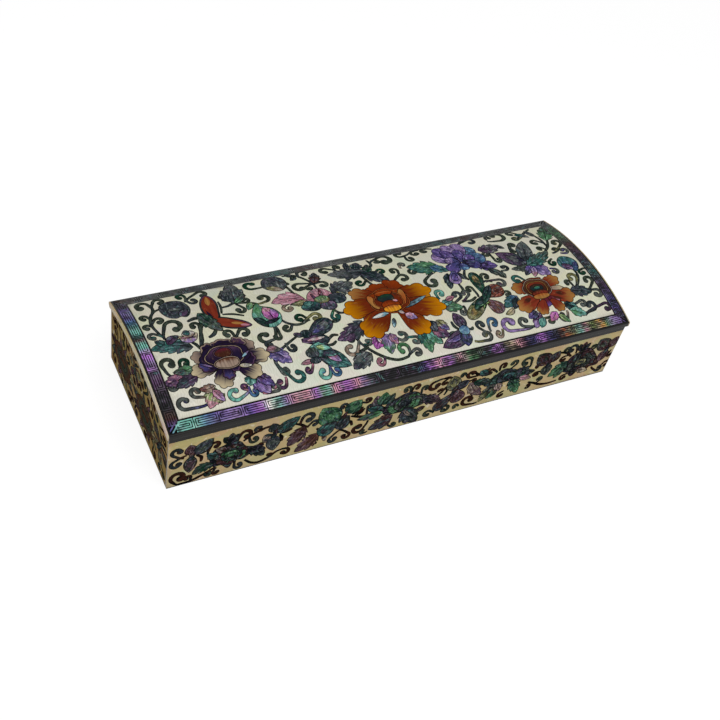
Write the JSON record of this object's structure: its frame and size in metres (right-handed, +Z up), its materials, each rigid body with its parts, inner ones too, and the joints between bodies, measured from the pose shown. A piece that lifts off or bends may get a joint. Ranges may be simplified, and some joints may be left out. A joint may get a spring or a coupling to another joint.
{
  "type": "pencil case",
  "caption": "Long lacquered case with an arched lid hinged along its back edge, faced with mother-of-pearl and lined with velvet, for pens and brushes.",
  "frame": {"origin": "centre of the underside, on the surface that the case stands on", "axes": "+X along the case, +Y from the front edge to the hinged back edge, +Z up"},
  "size_m": [0.22, 0.075, 0.04],
  "materials": {
    "black_lacquer": "thin board under polished black lacquer",
    "shell": "mother-of-pearl sheet inlaid with abalone, under clear lacquer",
    "fret_shell": "abalone fret strip under clear lacquer",
    "velvet": "dark red velvet on card",
    "felt": "black wool felt",
    "brass": "polished brass",
    "steel": "plain bright steel"
  },
  "bodies": {
    "base": {"bottom_board": "black_lacquer", "front_wall": "black_lacquer", "back_wall": "black_lacquer", "left_end_wall": "black_lacquer", "right_end_wall": "black_lacquer", "front_shell_panel": "shell", "back_shell_panel": "shell", "left_shell_panel": "shell", "right_shell_panel": "shell", "underside_felt": "felt", "floor_lining": "velvet", "front_wall_lining": "velvet", "back_wall_lining": "velvet", "left_wall_lining": "velvet", "right_wall_lining": "velvet", "left_hinge_base_leaf": "brass", "right_hinge_base_leaf": "brass", "left_hinge_pin": "brass", "right_hinge_pin": "brass", "base_hinge_nails": "brass", "catch_magnet": "steel"},
    "lid": {"lid_board": "black_lacquer", "lid_shell_field": "shell", "lid_front_border": "fret_shell", "lid_back_border": "fret_shell", "lid_left_border": "fret_shell", "lid_right_border": "fret_shell", "lid_left_edge_strip": "shell", "lid_right_edge_strip": "shell", "lid_lining": "velvet", "left_hinge_lid_leaf": "brass", "right_hinge_lid_leaf": "brass", "lid_hinge_nails": "brass", "catch_plate": "steel"}
  },
  "joints": [
    {"name": "lid_hinge", "type": "hinge", "parent": "base", "child": "lid", "pos_m": [0, 0.0363, 0.03141], "axis": [-1, 0, 0], "range_deg": [0, 105]}
  ]
}
